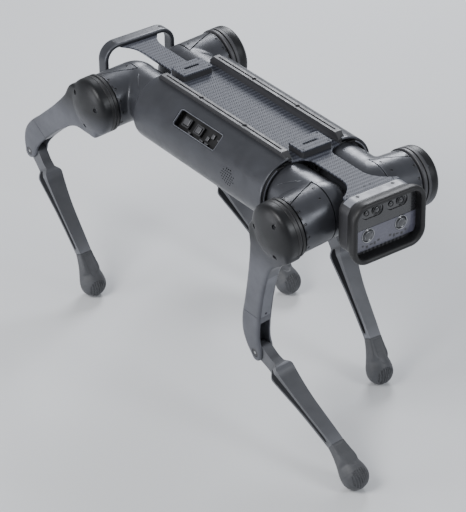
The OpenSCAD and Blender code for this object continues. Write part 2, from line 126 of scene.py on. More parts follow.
class Finish:
    """A material with one principled shader and short calls for the nodes that feed it."""

    def __init__(self, name, **values):
        self.material = bpy.data.materials.new(name)
        self.material.use_nodes = True
        self.tree = self.material.node_tree
        self.shader = self.tree.nodes["Principled BSDF"]
        for socket, value in values.items():
            self.shader.inputs[socket.replace("_", " ")].default_value = value

    def node(self, kind, inputs=(), **settings):
        made = self.tree.nodes.new(kind)
        for key, value in settings.items():
            setattr(made, key, value)
        for key, value in dict(inputs).items():
            if isinstance(value, bpy.types.NodeSocket):
                self.tree.links.new(value, made.inputs[key])
            else:
                made.inputs[key].default_value = value
        return made

    def place(self):
        return self.node("ShaderNodeTexCoord").outputs["Object"]

    def noise(self, scale, detail=3.0, where=None):
        return self.node("ShaderNodeTexNoise", {"Vector": where or self.place(), "Scale": scale,
                                                "Detail": detail}).outputs["Fac"]

    def math(self, operation, a, b=0.0):
        return self.node("ShaderNodeMath", {0: a, 1: b}, operation=operation).outputs[0]

    def spread(self, value, low, high, to_low, to_high):
        return self.node("ShaderNodeMapRange", {"Value": value, "From Min": low, "From Max": high,
                                                "To Min": to_low, "To Max": to_high}).outputs["Result"]

    def blend(self, factor, a, b):
        mix = self.node("ShaderNodeMix", {"Factor": factor}, data_type="RGBA")
        for socket, value in (("A", a), ("B", b)):
            colour_socket = [s for s in mix.inputs if s.name == socket and s.type == "RGBA"][0]
            if isinstance(value, bpy.types.NodeSocket):
                self.tree.links.new(value, colour_socket)
            else:
                colour_socket.default_value = (*value, 1)
        return [s for s in mix.outputs if s.type == "RGBA"][0]

    def feed(self, socket, value):
        self.tree.links.new(value, self.shader.inputs[socket])

    def bump(self, height, depth, strength=1.0):
        self.feed("Normal", self.node("ShaderNodeBump", {"Height": height, "Distance": depth,
                                                         "Strength": strength}).outputs["Normal"])

    def edges(self, low=0.515, high=0.56):
        """Nearly 1 on outer edges, where handling wears the finish."""
        curve = self.node("ShaderNodeNewGeometry").outputs["Pointiness"]
        return self.spread(curve, low, high, 0.0, 1.0)


def moulded(name, dark, light, roughness, grain=1800, grain_depth=0.00005, wear=None, crown_painted_shade=None,
            **values):
    """Moulded plastic: faint blotches of colour, fine grain, edges rubbed paler, and a crown darkened as painted
    shade.
    """
    finish = Finish(name, **values)
    blotch = finish.noise(22, 4)
    colour = finish.blend(finish.spread(blotch, 0.35, 0.65, 0.0, 1.0), dark, light)
    # painted shade: the top of the object's box is darkened towards the crown colour
    if crown_painted_shade:
        up = finish.node("ShaderNodeSeparateXYZ", {"Vector": finish.node(
            "ShaderNodeTexCoord").outputs["Generated"]}).outputs["Z"]
        colour = finish.blend(finish.spread(up, 0.60, 0.80, 0.0, 1.0), colour, crown_painted_shade)
    if wear:
        colour = finish.blend(finish.math("MULTIPLY", finish.edges(), 0.5), colour, wear)
    finish.feed("Base Color", colour)
    fine = finish.noise(grain, 2)
    rough = finish.spread(finish.noise(60, 5), 0.3, 0.7, roughness - 0.05, roughness + 0.07)
    finish.feed("Roughness", rough)
    finish.bump(fine, grain_depth, 0.6)
    return finish.material


def floor_material():
    finish = Finish("floor", Roughness=0.85)
    colour = finish.blend(finish.noise(1.5, 3), (0.70, 0.71, 0.72), (0.74, 0.75, 0.76))
    finish.feed("Base Color", colour)
    return finish.material


def woven():
    """Deck skin: a fine twill of pale and dark threads under a satin coat."""
    finish = Finish("woven", Specular_IOR_Level=0.25)
    axes = finish.node("ShaderNodeSeparateXYZ", {"Vector": finish.place()}).outputs
    thread = 0.0046
    along = finish.math("MULTIPLY", finish.math("ADD", axes["X"], axes["Y"]), 1 / thread)
    across = finish.math("MULTIPLY", finish.math("SUBTRACT", axes["X"], axes["Y"]), 1 / thread)
    # over-two under-two: each row of threads is shifted by one against the last
    row = finish.math("FLOOR", along)
    step = finish.math("FRACT", finish.math("MULTIPLY", finish.math("ADD", finish.math(
        "FLOOR", across), row), 0.25))
    over = finish.math("GREATER_THAN", step, 0.49)
    round_a = finish.math("ABSOLUTE", finish.math("SINE", finish.math("MULTIPLY", along, math.pi)))
    round_b = finish.math("ABSOLUTE", finish.math("SINE", finish.math("MULTIPLY", across, math.pi)))
    height = finish.node("ShaderNodeMix", {"Factor": over, "A": round_a, "B": round_b}).outputs[0]
    tone = finish.blend(over, (0.040, 0.044, 0.060), (0.115, 0.122, 0.150))
    shade = finish.spread(height, 0.0, 1.0, 0.75, 0.0)
    tone = finish.blend(shade, tone, (0.018, 0.020, 0.027))
    finish.feed("Base Color", finish.blend(finish.spread(
        finish.noise(14, 3), 0.3, 0.7, 0.0, 0.15), tone, (0.14, 0.148, 0.175)))
    finish.feed("Roughness", finish.spread(height, 0.0, 1.0, 0.65, 0.48))
    finish.bump(height, 0.00025, 0.8)
    return finish.material


def brushed(name, colour, roughness):
    """Machined metal with fine turning marks."""
    finish = Finish(name, Metallic=1.0)
    streak = finish.node("ShaderNodeMapping", {"Vector": finish.place(), "Scale": (900, 30, 900)})
    marks = finish.noise(1.0, 3, streak.outputs["Vector"])
    finish.feed("Base Color", finish.blend(marks, [0.8 * c for c in colour], colour))
    finish.feed("Roughness", finish.spread(marks, 0.3, 0.7, roughness, roughness + 0.15))
    finish.bump(marks, 0.00003, 0.5)
    return finish.material


def rubber(name, colour, roughness=0.62):
    """Rubber: dull, with a fine pitted skin and dust in the low places."""
    finish = Finish(name)
    pits = finish.noise(1100, 4)
    dust = finish.spread(finish.noise(35, 5), 0.45, 0.75, 0.0, 0.35)
    finish.feed("Base Color", finish.blend(dust, colour, [c * 1.9 + 0.01 for c in colour]))
    finish.feed("Roughness", finish.spread(pits, 0.3, 0.7, roughness - 0.06, roughness + 0.1))
    finish.bump(pits, 0.00012, 0.7)
    return finish.material


def glass(name, colour, roughness=0.04):
    """Coated lens glass, dark, with a faint smear."""
    finish = Finish(name, Coat_Weight=1.0, Coat_Roughness=0.02)
    smear = finish.noise(90, 3)
    finish.feed("Base Color", finish.blend(smear, colour, [c * 1.3 for c in colour]))
    finish.feed("Roughness", finish.spread(smear, 0.3, 0.7, roughness, roughness + 0.05))
    return finish.material


def circuit():
    finish = Finish("circuit", Roughness=0.4, Coat_Weight=0.3)
    tracks = finish.node("ShaderNodeTexBrick", {
        "Vector": finish.place(), "Scale": 90.0, "Color1": (0.02, 0.12, 0.05, 1),
        "Color2": (0.03, 0.16, 0.07, 1), "Mortar": (0.35, 0.28, 0.10, 1), "Mortar Size": 0.03})
    finish.feed("Base Color", tracks.outputs["Color"])
    finish.bump(tracks.outputs["Fac"], 0.0001)
    return finish.material


SHELL = moulded("shell", (0.050, 0.052, 0.060), (0.060, 0.063, 0.073), 0.33, Metallic=0.4,
                wear=(0.24, 0.25, 0.28))
# the thigh case's crown colour is painted shade, darkening its dome end
CASE = moulded("case", (0.075, 0.078, 0.092), (0.10, 0.104, 0.122), 0.40, Metallic=0.2,
               wear=(0.24, 0.25, 0.28), crown_painted_shade=(0.006, 0.0065, 0.008))
LIMB = moulded("limb", (0.058, 0.060, 0.066), (0.078, 0.080, 0.088), 0.40, Metallic=0.2,
               wear=(0.26, 0.27, 0.30))
TRIM = moulded("trim", (0.11, 0.115, 0.135), (0.15, 0.155, 0.18), 0.40, wear=(0.3, 0.31, 0.34))
BLACK = moulded("black", (0.005, 0.005, 0.006), (0.010, 0.010, 0.011), 0.45, wear=(0.10, 0.10, 0.11))
SOOT = moulded("soot", (0.007, 0.007, 0.008), (0.012, 0.012, 0.013), 0.5, wear=(0.08, 0.08, 0.09))
GLOSS = moulded("gloss", (0.016, 0.016, 0.019), (0.024, 0.024, 0.028), 0.24, grain=400,
                grain_depth=0.00001, Coat_Weight=0.6)
PANEL = moulded("panel", (0.085, 0.085, 0.115), (0.11, 0.11, 0.145), 0.26, grain=400,
                grain_depth=0.00001, Coat_Weight=0.5)
DECK = woven()
SOFT = rubber("soft", (0.007, 0.007, 0.008), 0.5)
SEAL = rubber("seal", (0.006, 0.006, 0.007))
TREAD = rubber("tread", (0.060, 0.062, 0.068), 0.5)
METAL = brushed("metal", (0.55, 0.56, 0.58), 0.28)
SCREW = brushed("screw", (0.10, 0.10, 0.105), 0.32)
PLUG = brushed("plug", (0.20, 0.20, 0.21), 0.35)
LENS_DARK = glass("lens_dark", (0.006, 0.006, 0.009))
LENS_LAMP = glass("lens_lamp", (0.012, 0.013, 0.018), 0.06)
BOARD = circuit()

SLOT_FINISH = {"shell": SHELL, "deck": DECK, "rail": BLACK, "bumper": SOFT, "visor": GLOSS,
               "face_panel": PANEL, "lens": LENS_DARK, "seal": SEAL, "battery": BLACK,
               "board": BOARD, "frame_metal": METAL, "ring": BLACK, "strip": TRIM,
               "bolt": METAL, "limb": LIMB, "foot_rubber": TREAD}


# ---- Mesh tools, in millimetres ----

def loft(rings, open_ends=False, ring_loop=False):
    """A skin through rings of points; the ends are capped, or the last ring joins the first."""
    made = bmesh.new()
    rows = [[made.verts.new(point) for point in ring] for ring in rings]
    count = len(rings[0])
    following = rows[1:] + rows[:1] if ring_loop else rows[1:]
    for row, after in zip(rows, following):
        for i in range(count):
            j = (i + 1) % count
            made.faces.new((row[i], row[j], after[j], after[i]))
    if not (open_ends or ring_loop):
        made.faces.new(rows[0][::-1])
        made.faces.new(rows[-1])
    bmesh.ops.remove_doubles(made, verts=made.verts, dist=1e-4)
    bmesh.ops.dissolve_degenerate(made, dist=1e-5, edges=made.edges)
    bmesh.ops.recalc_face_normals(made, faces=made.faces)
    return to_mesh(made)


def to_mesh(made):
    mesh = bpy.data.meshes.new("part")
    made.to_mesh(mesh)
    made.free()
    return mesh


AXES = {"X": lambda r, a, h: (h, r * math.cos(a), r * math.sin(a)),
        "Y": lambda r, a, h: (r * math.cos(a), h, r * math.sin(a)),
        "Z": lambda r, a, h: (r * math.cos(a), r * math.sin(a), h)}


def revolve(profile, axis="Y", steps=96, at=(0, 0, 0), closed=True):
    """Turns a profile of [radius, height] about an axis. A profile that ends on the axis isn't closed."""
    spin = AXES[axis]
    angles = [2 * math.pi * i / steps for i in range(steps)]
    rings = [[Vector(at) + Vector(spin(radius, angle, height)) for angle in angles]
             for radius, height in profile]
    return loft(rings, open_ends=True, ring_loop=closed)


def rod(axis, radius, low, high, at=(0, 0, 0), steps=48):
    return revolve([(0, low), (radius, low), (radius, high), (0, high)], axis, steps, at, closed=False)


def block(low, high):
    (x0, y0, z0), (x1, y1, z1) = low, high
    square = ((x0, y0), (x1, y0), (x1, y1), (x0, y1))
    return loft([[(x, y, z) for x, y in square] for z in (z0, z1)])


def prism(points, low, high, axis="Y"):
    """An outline given a depth along an axis.

    Its points are [forward, up] for Y, [forward, outward] for Z and [outward, up] for X.
    """
    put = {"X": lambda u, v, h: (h, u, v), "Y": lambda u, v, h: (u, h, v), "Z": lambda u, v, h: (u, v, h)}
    return loft([[put[axis](u, v, h) for u, v in points] for h in (low, high)])


def round_rect(width, height, radius, steps=8, at=(0, 0)):
    """A rounded rectangle's points, the same number whatever its size."""
    points = []
    for sx, sy, start in ((1, 1, 0), (-1, 1, 90), (-1, -1, 180), (1, -1, 270)):
        for i in range(steps + 1):
            angle = math.radians(start + 90 * i / steps)
            points.append((at[0] + sx * (width / 2 - radius) + radius * math.cos(angle),
                           at[1] + sy * (height / 2 - radius) + radius * math.sin(angle)))
    return points


def smooth_loop(points, steps=6):
    """A smooth closed curve through points."""
    curve = []
    for i in range(len(points)):
        a, b, c, d = (Vector(points[(i + k) % len(points)]) for k in (-1, 0, 1, 2))
        for step in range(steps):
            t = step / steps
            curve.append(tuple(0.5 * (2 * b + (c - a) * t + (2 * a - 5 * b + 4 * c - d) * t * t
                                      + (3 * b - a - 3 * c + d) * t ** 3)))
    return curve


def arc(centre, radius, start, end, steps):
    """Points along an arc, with its angles in degrees."""
    angles = [math.radians(start + (end - start) * i / steps) for i in range(steps + 1)]
    return [(centre[0] + radius * math.cos(a), centre[1] + radius * math.sin(a)) for a in angles]


def moved(mesh, matrix):
    mesh = mesh.copy()
    mesh.transform(matrix)
    return mesh


def joined(*meshes):
    made = bmesh.new()
    for mesh in meshes:
        made.from_mesh(mesh)
    return to_mesh(made)


def modified(mesh, *steps):
    """The mesh after Blender modifiers, each given as its kind and settings."""
    holder = bpy.data.objects.new("holder", mesh)
    bpy.context.scene.collection.objects.link(holder)
    for kind, settings in steps:
        modifier = holder.modifiers.new(kind, kind)
        for key, value in settings.items():
            setattr(modifier, key, value)
    result = bpy.data.meshes.new_from_object(holder.evaluated_get(bpy.context.evaluated_depsgraph_get()))
    bpy.data.objects.remove(holder)
    return result


def combined(mesh, other, operation):
    tool = bpy.data.objects.new("tool", other)
    bpy.context.scene.collection.objects.link(tool)
    result = modified(mesh, ("BOOLEAN", {"object": tool, "operation": operation, "solver": "EXACT"}))
    bpy.data.objects.remove(tool)
    return result


def cut(mesh, *tools):
    for tool in tools:
        mesh = combined(mesh, tool, "DIFFERENCE")
    return mesh


def shared(mesh, other):
    return combined(mesh, other, "INTERSECT")


def melted(mesh, voxel, rounds):
    """Separate closed shapes fused into one skin, with their joints and edges softened."""
    return modified(mesh, ("REMESH", {"mode": "VOXEL", "voxel_size": voxel}),
                    ("SMOOTH", {"factor": 0.5, "iterations": rounds}))


# ---- Local frames, and putting a piece in its place ----

def local_frame(at, x, y, z):
    turn = Matrix((x, y, z)).transposed().to_4x4()
    return Matrix.Translation(at) @ turn @ Matrix.Scale(MM, 4)


def outward(leg):
    return (joint_at("hip_pitch", leg) - joint_at("hip_roll", leg)).normalized()


def leg_frame(at, down, leg):
    """X forward, Y outward and Z against down."""
    y, z = outward(leg), -down.normalized()
    x = y.cross(z)
    return local_frame(at, x if x.x > 0 else -x, y, z)


FOOT_R = 24.0
SHANK_L = 270.8
BOOT_LEAN = 9.5

TRUNK = local_frame(trunk_at, Vector((1, 0, 0)), Vector((0, 1, 0)), Vector((0, 0, 1)))
SIDES = {"right": TRUNK @ Matrix.Diagonal((1, -1, 1, 1)), "left": TRUNK}


def hip_frame(leg):
    """The front legs' frame, turned end for end on the rear legs, so X points away from the trunk."""
    y = outward(leg)
    z = Vector((1, 0, 0)).cross(y)
    z = z if z.z > 0 else -z
    return local_frame(joint_at("hip_roll", leg), Vector((ENDS[leg[0]], 0, 0)), y, z)


def thigh_frame(leg):
    hip = joint_at("hip_pitch", leg)
    return leg_frame(hip, joint_at("knee", leg) - hip, leg)


def shank_frame(leg):
    """Stands the foot's ball on the floor, with the shank in the leg's own plane."""
    knee, y = joint_at("knee", leg), outward(leg)
    upright = Vector((1, 0, 0)).cross(y)
    upright = upright if upright.z > 0 else -upright
    cosine = (knee.z - FOOT_R * MM) / (SHANK_L * MM * upright.z)
    sine = math.sqrt(1 - cosine * cosine)
    return leg_frame(knee, Vector((1, 0, 0)) * sine - upright * cosine, leg)


BOOT = Matrix.Translation((0, 0, -SHANK_L)) @ Matrix.Rotation(math.radians(BOOT_LEAN), 4, "Y")


BEVEL_FROM_ANGLE = 40


def piece(name, mesh, place, body, material, slot, bevel=0.0, stands_for=(), segments=2, sharp=32):
    """Puts a mesh into its place, softens its edges by bevel millimetres and rides it on a body."""
    made = bmesh.new()
    made.from_mesh(mesh)
    made.transform(place)
    bmesh.ops.recalc_face_normals(made, faces=made.faces)
    mesh = to_mesh(made)
    mesh.polygons.foreach_set("use_smooth", [True] * len(mesh.polygons))
    mesh.set_sharp_from_angle(angle=math.radians(sharp))
    mesh.materials.clear()
    mesh.materials.append(material)
    obj = bpy.data.objects.new(name, mesh)
    bpy.context.scene.collection.objects.link(obj)
    if bevel:
        edge = obj.modifiers.new("edge", "BEVEL")
        edge.width, edge.segments = bevel * MM, segments
        edge.limit_method, edge.angle_limit = "ANGLE", math.radians(BEVEL_FROM_ANGLE)
        edge.harden_normals = True
        obj.modifiers.new("shade", "WEIGHTED_NORMAL").keep_sharp = True
    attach(obj, body)
    if stands_for:
        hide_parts(*stands_for)
    return obj


def refined(node, body, material, slot, bevel, name=None, **settings):
    """A CAD node's own shape, its flat faces made whole and its edges softened."""
    made = bmesh.new()
    made.from_mesh(frame["nodes"][node].data)
    bmesh.ops.remove_doubles(made, verts=made.verts, dist=1e-6)
    bmesh.ops.dissolve_limit(made, angle_limit=math.radians(1), verts=made.verts, edges=made.edges)
    return piece(name or f"{node}_body", to_mesh(made), Matrix.Identity(4), body, material, slot,
                 bevel, (node,), **settings)


def screw(radius, height, axis="Z"):
    """A button-headed screw with a hexagon socket."""
    head = revolve([(0, -1), (radius, -1), (radius, 0.35 * height), (0.8 * radius, 0.8 * height),
                    (0.5 * radius, height), (0, height)], axis, 24, closed=False)
    socket = revolve([(0, 0.2 * height), (0.42 * radius, 0.2 * height), (0.42 * radius, height + 1),
                      (0, height + 1)], axis, 6, closed=False)
    return cut(head, socket)


def reach(node):
    """A CAD node's lowest and highest corners, in millimetres from the trunk's middle."""
    low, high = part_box(node)
    return (low - trunk_at) / MM, (high - trunk_at) / MM


# ---- Trunk ----

SHELL_LOW, SHELL_HIGH = reach("side_shell_left")
HALF_L = SHELL_HIGH.x
BARREL_R = -SHELL_LOW.z
BARREL_Y = SHELL_HIGH.y - BARREL_R
SHELL_T = 3.0
DECK_HALF = SHELL_LOW.y
DECK_Z = reach("top_plate")[1].z
RAIL_SEAT_Y = 55.5
WINDOW_X, WINDOW_L, WINDOW_W, WINDOW_TILT = -15.5, 121.0, 34.0, 44.0
SPEAKER_X, SPEAKER_TILT = 90.0, 5.0


def on_barrel(x, angle):
    """Z along the barrel's outward radius at an angle above horizontal, and Y down its side."""
    return Matrix.Translation((x, BARREL_Y, 0)) @ Matrix.Rotation(math.radians(angle - 90), 4, "X")


def barrel_skin():
    """Half a tube along X, with its end edges rolled in."""
    low = -math.degrees(math.acos((DECK_HALF - BARREL_Y) / BARREL_R))
    high = math.degrees(math.acos((RAIL_SEAT_Y - BARREL_Y) / BARREL_R))
    steps = 56
    spacing = 6
    lip = [(HALF_L, 1.1), (HALF_L - 0.5, 0.35), (HALF_L - 1.2, 0.0)]
    count = round(2 * (HALF_L - 4) / spacing)
    middle = [((HALF_L - 4) * (1 - 2 * i / count), 0.0) for i in range(count + 1)]
    rings = []
    for x, rolled in lip + middle + [(-x, rolled) for x, rolled in reversed(lip)]:
        outer = arc((BARREL_Y, 0), BARREL_R - rolled, low, high, steps)
        inner = arc((BARREL_Y, 0), BARREL_R - SHELL_T, high, low, steps)
        rings.append([(x, y, z) for y, z in outer + inner])
    return loft(rings)


def speaker_holes():
    pitch, radius, rows = 5.2, 1.35, 3
    holes = []
    for row in range(-rows, rows + 1):
        for column in range(-rows, rows + 1):
            if abs(row) + abs(column) < 5:
                at = ((column + 0.5 * (row % 2)) * pitch, row * pitch * 0.87, 0)
                holes.append(rod("Z", radius, 50, 70, at, steps=10))
    return moved(joined(*holes), on_barrel(SPEAKER_X, SPEAKER_TILT))


def add_side_shells():
    skin = barrel_skin()
    window = prism(round_rect(WINDOW_L, WINDOW_W, 6), 40, 70, "Z")
    window = moved(window, on_barrel(WINDOW_X, WINDOW_TILT))
    piece("left_shell", skin, SIDES["left"], "trunk", SHELL, "shell", stands_for=("side_shell_left",))
    piece("right_shell", cut(skin, window, speaker_holes()), SIDES["right"], "trunk", SHELL, "shell",
          stands_for=("side_shell_right",))


def add_port_window():
    """The lip round the port window, and the metal faces of the sockets in it."""
    def on_surface(u, v, height):
        return u, v, math.sqrt((BARREL_R + height) ** 2 - v * v)
    lip = [(0.7, -2.5), (0.7, -0.2), (1.0, 0.25), (1.9, 0.25), (2.3, -0.2), (2.3, -2.5)]
    rings = [[on_surface(u, v, height) for u, v in
              round_rect(WINDOW_L - 2 * inset, WINDOW_W - 2 * inset, 6 - inset)]
             for inset, height in lip]
    place = SIDES["right"] @ on_barrel(WINDOW_X, WINDOW_TILT)
    piece("port_lip", loft(rings, ring_loop=True), place, "trunk", TRIM, "rail")
    refined("port_panel", "trunk", BLACK, "rail", 0.4)
    floor = 44.6
    plugs = [prism(round_rect(w, h, 1.2, 4, (x, y)), floor, floor + tall, "Z")
             for x, y, w, h, tall in ((-40, -1, 14.4, 11.4, 7.2), (-6, 0, 11.5, 11.4, 7.0),
                                      (20, 4, 6.6, 8.6, 3.6), (29, -4, 6.6, 8.6, 3.6), (44, -3, 9, 3, 1.6),
                                      (-22, 12.5, 7, 3.4, 6.5), (12, 12.5, 9, 3.4, 6.5),
                                      (26, 12.5, 9, 3.4, 6.5))]
    piece("port_plugs", joined(*plugs), place, "trunk", PLUG, "bolt", 0.5)


def add_rails():
    for side in ("right", "left"):
        refined(f"rail_{side}", "trunk", BLACK, "rail", 0.8, segments=3)


def add_deck():
    refined("top_plate", "trunk", DECK, "deck", 0.6)
    refined("belly_cover", "trunk", SHELL, "shell", 0.8)
    high = reach("strap_blocks")[1]
    length, width, height = 42.0, 62.0, high.z - DECK_Z
    lid_t, slot_l, slot_w = 3.0, 31.0, 5.0
    bases, lids, screws = [], [], []
    for end in (1, -1):
        x = end * (high.x - length / 2)
        bases.append(prism(round_rect(length - 2, width - 2, 3, at=(x, 0)), DECK_Z, high.z - lid_t, "Z"))
        lid = prism(round_rect(length, width, 4, at=(x, 0)), high.z - lid_t + 0.05, high.z, "Z")
        holes = [prism(round_rect(slot_w, slot_l, 2.4, at=(x, 0)), high.z - height, high.z + 1, "Z")]
        for sx in (1, -1):
            for sy in (1, -1):
                at = (x + sx * (length / 2 - 5), sy * (width / 2 - 5), 0)
                holes.append(rod("Z", 1.9, high.z - 1.6, high.z + 1, at, 20))
                screws.append(moved(screw(1.6, 1.0), Matrix.Translation((at[0], at[1], high.z - 1.5))))
        lids.append(cut(lid, joined(*holes)))
        bases[-1] = cut(bases[-1], prism(round_rect(slot_w, slot_l, 2.4, at=(x, 0)), high.z - 9,
                                         high.z, "Z"))
    piece("strap_block_bases", joined(*bases), TRUNK, "trunk", BLACK, "rail", 0.6,
          ("strap_blocks",))
    piece("strap_block_lids", joined(*lids), TRUNK, "trunk", DECK, "deck", 0.5)
    piece("strap_block_screws", joined(*screws), TRUNK, "trunk", SCREW, "bolt")


def add_end_rings():
    """A soft black ring in each barrel mouth, with a thin hard ring set in it."""
    refined("end_rings", "trunk", SEAL, "seal", 0.5)
    section = [(53.6, 0.2), (53.6, 1.9), (54.1, 2.3), (55.4, 2.3), (55.9, 1.9), (55.9, 0.2)]
    rings = []
    for i in range(81):
        angle = math.radians(-158 + 218 * i / 80)
        rings.append([(HALF_L + x, BARREL_Y + r * math.cos(angle), r * math.sin(angle))
                      for r, x in section])
    ring = loft(rings)
    for side, place in SIDES.items():
        for end, turn in (("front", 1), ("rear", -1)):
            piece(f"mouth_ring_{end}_{side}", ring, place @ Matrix.Diagonal((turn, 1, 1, 1)),
                  "trunk", TRIM, "ring")


# ---- Head and hoop ----

HEAD_LOW, HEAD_HIGH = reach("head_frame")
HEAD_W, HEAD_H = HEAD_HIGH.y - HEAD_LOW.y, HEAD_HIGH.z - HEAD_LOW.z
HEAD_Z = (HEAD_HIGH.z + HEAD_LOW.z) / 2
HEAD_X = HEAD_HIGH.x
HEAD_CORNER = 30.0
VISOR_X = reach("visor_upper")[1].x


def head_ring(inset, x):
    """The head's outline, drawn in by inset, at x."""
    corner = max(HEAD_CORNER - inset, 2)
    return [(x, y, z) for y, z in round_rect(HEAD_W - 2 * inset, HEAD_H - 2 * inset, corner, 14,
                                             (0, HEAD_Z))]


def add_head_shells():
    # section of the bumper as [inset, distance behind its front]
    section = smooth_loop([(8, 27.6), (6.2, 24), (2.4, 17), (0.3, 10), (0, 5), (1.6, 1.2), (4.6, 0),
                           (7.6, 1.0), (9.6, 3.6), (10, 8), (10, 20), (10, 27.6)], 4)
    section = [(max(inset, 0), max(behind, 0)) for inset, behind in section]
    bumper = loft([head_ring(inset, HEAD_X - behind) for inset, behind in section], ring_loop=True)
    piece("bumper", bumper, TRUNK, "trunk", SOFT, "bumper", stands_for=("head_frame",))

    back = reach("head_back")[0].x
    section = [(20, 0), (14, 0.3), (10.8, 1.6), (9, 3.8), (8.2, 7), (8, 10), (8, 27.4), (10.3, 27.5),
               (10.3, 35)]
    shell = loft([head_ring(inset, back + ahead) for inset, ahead in section])
    deck_front = reach("top_plate")[1].x
    step = block((back - 5, -60, DECK_Z - 3.2), (deck_front + 0.2, 60, DECK_Z + 5))
    piece("head_housing", cut(shell, step), TRUNK, "trunk", SOOT, "shell",
          stands_for=("head_back",))

    plate = loft([head_ring(inset, x) for inset, x in
                  ((8.2, deck_front + 0.6), (7.6, deck_front + 0.9), (7.6, deck_front + 18.4),
                   (8.2, deck_front + 18.7))])
    top_only = block((back, -HEAD_W, DECK_Z - 6), (HEAD_X, HEAD_W, DECK_Z + 9))
    screw_at = [(deck_front + 6.5, side * 36, DECK_Z) for side in (1, -1)]
    sinks = joined(*(rod("Z", 3.2, -0.5, 3, at, 28) for at in screw_at))
    piece("head_bridge", cut(shared(plate, top_only), sinks), TRUNK, "trunk", TRIM, "strip")
    screws = [moved(screw(2.6, 1.3), Matrix.Translation((x, y, z - 0.3))) for x, y, z in screw_at]
    screws += [moved(screw(1.4, 0.8), Matrix.Translation((deck_front - x, side * y, DECK_Z)))
               for x, y in ((7, 47), (14, 6)) for side in (1, -1)]
    piece("head_screws", joined(*screws), TRUNK, "trunk", SCREW, "bolt")


def lens(name, y, z, rings, dome, glass_finish, ring_finish):
    """Stepped rings round a domed glass; rings are [outer radius, inner radius, height]."""
    parts = [revolve([(inner, -2), (outer, -2), (outer, tall - 0.3), (outer - 0.3, tall),
                      (inner + 0.4, tall), (inner, tall - 0.4)], "X", 64, (VISOR_X, y, z))
             for outer, inner, tall in rings]
    piece(f"{name}_rings", joined(*parts), TRUNK, "trunk", ring_finish, "lens")
    radius, low, tall = dome
    curve = [(radius * math.cos(math.radians(a)), low + tall * math.sin(math.radians(a)))
             for a in range(0, 91, 10)]
    cap = revolve([(0, low - 1.5), (radius, low - 1.5)] + curve, "X", 64, (VISOR_X, y, z), closed=False)
    piece(f"{name}_glass", cap, TRUNK, "trunk", glass_finish, "lens")


def add_visor():
    refined("visor_upper", "trunk", GLOSS, "visor", 0.6)
    refined("visor_lower", "trunk", PANEL, "face_panel", 0.8)
    eye_y, eye_z, lamp_y, lamp_z = 25.0, 34.0, 34.0, -7.0
    pills = [prism(round_rect(42.2, 20.2, 10, 12, (side * eye_y, eye_z)), VISOR_X - 3.5,
                   VISOR_X - 1.7, "X") for side in (1, -1)]
    inlay = piece("eye_inlays", joined(*pills), TRUNK, "trunk", LENS_DARK, "lens", 0.2)
    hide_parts("head_lenses")
    for side, label in ((1, "left"), (-1, "right")):
        y = side * eye_y
        lens(f"eye_wide_{label}", y + 9, eye_z, [(9.2, 7.8, 0.2), (6.6, 5.2, 0.6)],
             (5.0, -1.0, 2.0), LENS_DARK, GLOSS)
        lens(f"eye_small_{label}", y - 11.5, eye_z, [(5.2, 4.0, 0.0)], (3.8, -1.4, 1.5), LENS_DARK, GLOSS)
        # the lamps' rings are bright metal, a painted highlight standing in for glints on the lamp glass
        lens(f"lamp_{label}", side * lamp_y, lamp_z, [(12.8, 11.6, 0.9), (8.0, 7.3, 2.7)],
             (11.4, -0.6, 3.4), LENS_LAMP, METAL)
    # a low row of dark slats under the face panel, and dark marks under the lamps
    low = HEAD_Z - HEAD_H / 2 + 10
    slats = [block((VISOR_X - 12, y - 2.2, low + 0.4), (VISOR_X - 3, y + 2.2, low + 5.5))
             for y in range(-40, 41, 8)]
    slats += [block((VISOR_X - 3, side * y - wide / 2, z), (VISOR_X + 0.25, side * y + wide / 2, z + tall))
              for side in (1, -1) for y, z, wide, tall in ((12, -25, 5, 4), (20, -29, 4, 6), (27, -27, 6, 3),
                                                           (36, -30, 5, 5), (44, -26, 4, 4))]
    piece("chin_slats", joined(*slats), TRUNK, "trunk", BLACK, "visor", 0.5)


def add_hoop():
    low, high = reach("rear_hoop")
    wide = high.x - low.x
    section = smooth_loop([(0, 3.5), (1.0, 0.8), (4, 0), (7, 0.8), (8, 3.5), (8, wide / 2), (8, wide - 3.5),
                           (7, wide - 0.8), (4, wide), (1.0, wide - 0.8), (0, wide - 3.5), (0, wide / 2)], 3)
    section = [(min(max(inset, 0), 8), min(max(ahead, 0), wide)) for inset, ahead in section]
    hoop = loft([head_ring(inset, low.x + ahead) for inset, ahead in section], ring_loop=True)
    piece("tail_hoop", hoop, TRUNK, "trunk", SHELL, "shell", stands_for=("rear_hoop",))
    screws = [moved(screw(2.2, 1.2), Matrix.Translation((low.x + wide / 2, side * 50, high.z - 0.5)))
              for side in (1, -1)]
    piece("tail_screws", joined(*screws), TRUNK, "trunk", SCREW, "bolt")


# ---- Hips: one shape, turned and mirrored to the four corners ----

HIP_R = 50.0
HIP_OPEN_Y = 66.0
NECK_END = -81.6


def hip_shape():
    """An elbow: a dome, a barrel outward and a neck into the trunk, melted together."""
    ball = revolve([(HIP_R * math.cos(math.radians(a)), HIP_R * math.sin(math.radians(a)))
                    for a in range(-90, 91, 6)], "Y", 72, closed=False)
    barrel = rod("Y", HIP_R, 0, HIP_OPEN_Y + 12, steps=96)
    neck = rod("X", HIP_R - 1, NECK_END - 10, 0, steps=96)
    elbow = combined(combined(ball, barrel, "UNION"), neck, "UNION")
    elbow = melted(elbow, 1.9, 14)
    ends = joined(block((-60, HIP_OPEN_Y, -60), (60, 100, 60)),
                  block((NECK_END - 30, -60, -60), (NECK_END, 60, 60)))
    return cut(elbow, ends)


